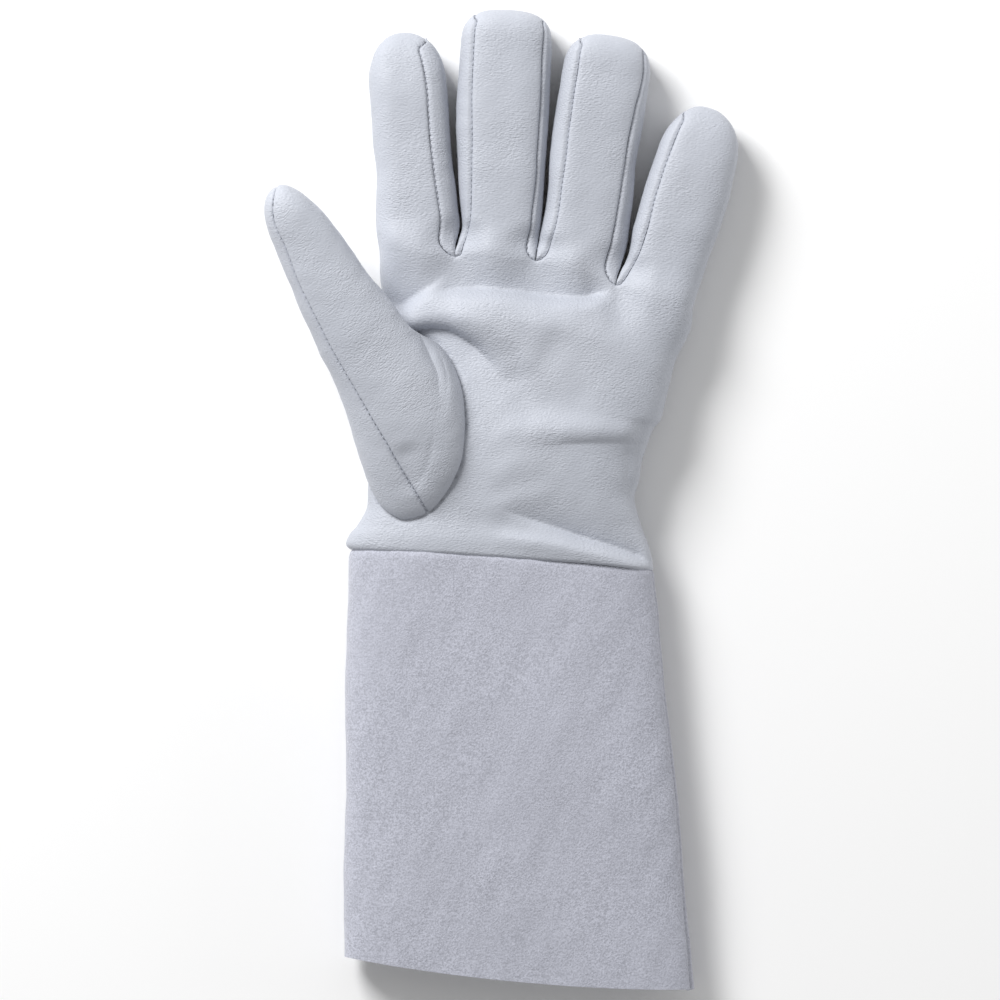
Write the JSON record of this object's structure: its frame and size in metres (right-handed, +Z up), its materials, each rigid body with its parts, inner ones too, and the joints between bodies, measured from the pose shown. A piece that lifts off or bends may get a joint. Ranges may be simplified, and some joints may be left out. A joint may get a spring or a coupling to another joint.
{
  "type": "welding glove",
  "caption": "Left-hand welding glove: soft grain-leather hand with separate finger stalls and a set-in thumb, and a long suede gauntlet cuff, lying palm up.",
  "frame": {"origin": "on the surface that the glove lies on, under the middle of the glove's bounding box", "axes": "+Z up from the surface, out of the palm side; +Y along the fingers; +X towards the little finger"},
  "size_m": [0.1767, 0.3619, 0.0483],
  "materials": {
    "grain_leather": "fine pebbled grain leather, pale cool grey, soft satin",
    "split_leather": "napped split leather, matte blue-grey",
    "thread": "heat-resistant sewing thread",
    "elastic": "woven elastic",
    "tape": "cotton tape",
    "label": "blank woven label"
  },
  "bodies": {
    "hand": {"palm": "grain_leather", "hand_back": "grain_leather", "hand_fold": "grain_leather", "hand_side": "grain_leather", "wrist_leather": "grain_leather", "wrist_elastic": "elastic", "elastic_casing": "tape", "crotch_index_middle": "grain_leather", "crotch_middle_ring": "grain_leather", "crotch_ring_little": "grain_leather", "thumb_base": "grain_leather", "thumb_base_stitches": "thread", "thumb_root_sleeve": "grain_leather", "index_knuckle_sleeve": "grain_leather", "middle_knuckle_sleeve": "grain_leather", "ring_knuckle_sleeve": "grain_leather", "little_knuckle_sleeve": "grain_leather"},
    "cuff": {"cuff_front": "split_leather", "cuff_back": "split_leather", "cuff_fold": "split_leather", "cuff_side": "split_leather", "cuff_label": "label", "wrist_seam_stitches": "thread", "cuff_side_stitches": "thread"},
    "thumb_lower": {"thumb_lower_front": "grain_leather", "thumb_lower_back": "grain_leather", "thumb_joint_sleeve": "grain_leather"},
    "thumb_upper": {"thumb_upper_front": "grain_leather", "thumb_upper_back": "grain_leather"},
    "index_lower": {"index_lower_leather": "grain_leather", "index_lower_fourchette": "grain_leather", "index_joint_sleeve": "grain_leather"},
    "index_upper": {"index_upper_front": "grain_leather", "index_upper_back": "grain_leather", "index_upper_left": "grain_leather", "index_upper_right": "grain_leather"},
    "middle_lower": {"middle_lower_leather": "grain_leather", "middle_lower_fourchette": "grain_leather", "middle_joint_sleeve": "grain_leather"},
    "middle_upper": {"middle_upper_front": "grain_leather", "middle_upper_back": "grain_leather", "middle_upper_left": "grain_leather", "middle_upper_right": "grain_leather"},
    "ring_lower": {"ring_lower_leather": "grain_leather", "ring_lower_fourchette": "grain_leather", "ring_joint_sleeve": "grain_leather"},
    "ring_upper": {"ring_upper_front": "grain_leather", "ring_upper_back": "grain_leather", "ring_upper_left": "grain_leather", "ring_upper_right": "grain_leather"},
    "little_lower": {"little_lower_leather": "grain_leather", "little_lower_fourchette": "grain_leather", "little_joint_sleeve": "grain_leather"},
    "little_upper": {"little_upper_front": "grain_leather", "little_upper_back": "grain_leather", "little_upper_left": "grain_leather", "little_upper_right": "grain_leather"}
  },
  "joints": [
    {"name": "wrist_bend", "type": "hinge", "parent": "hand", "child": "cuff", "pos_m": [0, -0.0135, 0.014], "axis": [1, 0, 0], "range_deg": [-35, 35], "deforming": ["wrist_leather"]},
    {"name": "index_knuckle", "type": "hinge", "parent": "hand", "child": "index_lower", "pos_m": [-0.03124, 0.0997, 0.0115], "axis": [0.9998, 0.0209, 0], "range_deg": [0, 60], "deforming": ["index_knuckle_sleeve"]},
    {"name": "index_joint", "type": "hinge", "parent": "index_lower", "child": "index_upper", "pos_m": [-0.03286, 0.12465, 0.0115], "axis": [0.9998, 0.0209, 0], "range_deg": [0, 70], "deforming": ["index_joint_sleeve"]},
    {"name": "middle_knuckle", "type": "hinge", "parent": "hand", "child": "middle_lower", "pos_m": [-0.00145, 0.09774, 0.0115], "axis": [0.9999, -0.014, 0], "range_deg": [0, 60], "deforming": ["middle_knuckle_sleeve"]},
    {"name": "middle_joint", "type": "hinge", "parent": "middle_lower", "child": "middle_upper", "pos_m": [-0.00022, 0.12471, 0.0115], "axis": [0.9999, -0.014, 0], "range_deg": [0, 70], "deforming": ["middle_joint_sleeve"]},
    {"name": "ring_knuckle", "type": "hinge", "parent": "hand", "child": "ring_lower", "pos_m": [0.02923, 0.09237, 0.0115], "axis": [0.9994, -0.0349, 0], "range_deg": [0, 60], "deforming": ["ring_knuckle_sleeve"]},
    {"name": "ring_joint", "type": "hinge", "parent": "ring_lower", "child": "ring_upper", "pos_m": [0.03293, 0.1181, 0.0115], "axis": [0.9994, -0.0349, 0], "range_deg": [0, 70], "deforming": ["ring_joint_sleeve"]},
    {"name": "little_knuckle", "type": "hinge", "parent": "hand", "child": "little_lower", "pos_m": [0.05966, 0.0832, 0.0115], "axis": [0.9962, -0.0872, 0], "range_deg": [0, 60], "deforming": ["little_knuckle_sleeve"]},
    {"name": "little_joint", "type": "hinge", "parent": "little_lower", "child": "little_upper", "pos_m": [0.06545, 0.10339, 0.0115], "axis": [0.9962, -0.0872, 0], "range_deg": [0, 70], "deforming": ["little_joint_sleeve"]},
    {"name": "thumb_root", "type": "hinge", "parent": "hand", "child": "thumb_lower", "pos_m": [-0.0505, 0.06039, 0.03094], "axis": [0.866, 0.5, 0], "range_deg": [0, 40], "deforming": ["thumb_root_sleeve"]},
    {"name": "thumb_joint", "type": "hinge", "parent": "thumb_lower", "child": "thumb_upper", "pos_m": [-0.0675, 0.08984, 0.03502], "axis": [0.866, 0.5, 0], "range_deg": [0, 50], "deforming": ["thumb_joint_sleeve"]}
  ]
}
